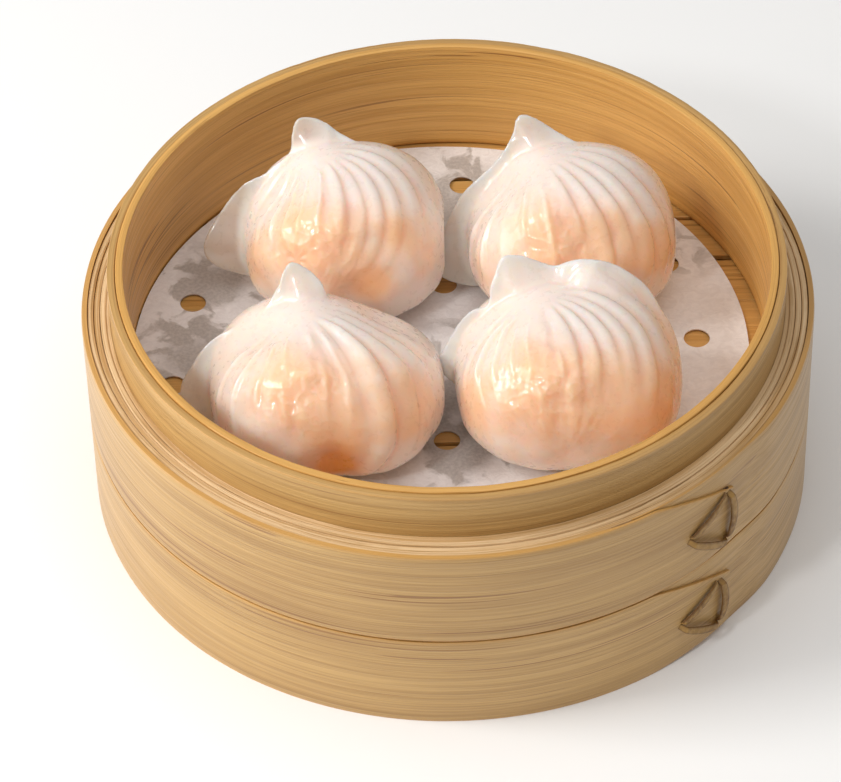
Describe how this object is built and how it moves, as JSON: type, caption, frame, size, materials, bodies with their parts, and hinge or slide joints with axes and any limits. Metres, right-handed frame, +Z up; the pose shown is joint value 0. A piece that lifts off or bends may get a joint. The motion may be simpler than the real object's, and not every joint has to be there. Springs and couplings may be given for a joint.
{
  "type": "har gow dumplings in a bamboo steamer",
  "caption": "Pleated har gow with pinched skin flanges on a perforated paper liner in a round bamboo steamer basket with stitched bands.",
  "frame": {"origin": "centre of the basket's footprint, on the surface it stands on", "axes": "+Z up; -Y towards the front, where the stitched laps of the bands are a little to the right (+X)"},
  "size_m": [0.152, 0.152, 0.0655],
  "materials": {
    "bamboo": "satin split bamboo with long fibres",
    "bamboo_edge": "pale cut edges and filler plies",
    "cane": "flat peeled cane",
    "paper": "damp greaseproof paper",
    "dumpling_skin": "moist, translucent steamed starch skin over a pink prawn filling"
  },
  "bodies": {
    "root": {"band_lower": "bamboo", "band_upper": "bamboo", "batten_left": "bamboo", "batten_right": "bamboo", "dumpling_1": "dumpling_skin", "dumpling_2": "dumpling_skin", "dumpling_3": "dumpling_skin", "dumpling_4": "dumpling_skin", "paper_liner": "paper", "rim_hoop_inner": "bamboo", "rim_hoop_outer": "bamboo_edge", "slat_1": "bamboo", "slat_2": "bamboo", "slat_3": "bamboo", "slat_4": "bamboo", "slat_5": "bamboo", "slat_6": "bamboo", "slat_7": "bamboo", "slat_8": "bamboo", "slat_9": "bamboo", "slat_10": "bamboo", "stitch_lower": "cane", "stitch_upper": "cane", "support_hoop": "bamboo", "wall_ply_1": "bamboo_edge", "wall_ply_2": "bamboo_edge", "wall_ply_3": "bamboo_edge", "wall_ply_4": "bamboo_edge"}
  },
  "joints": []
}
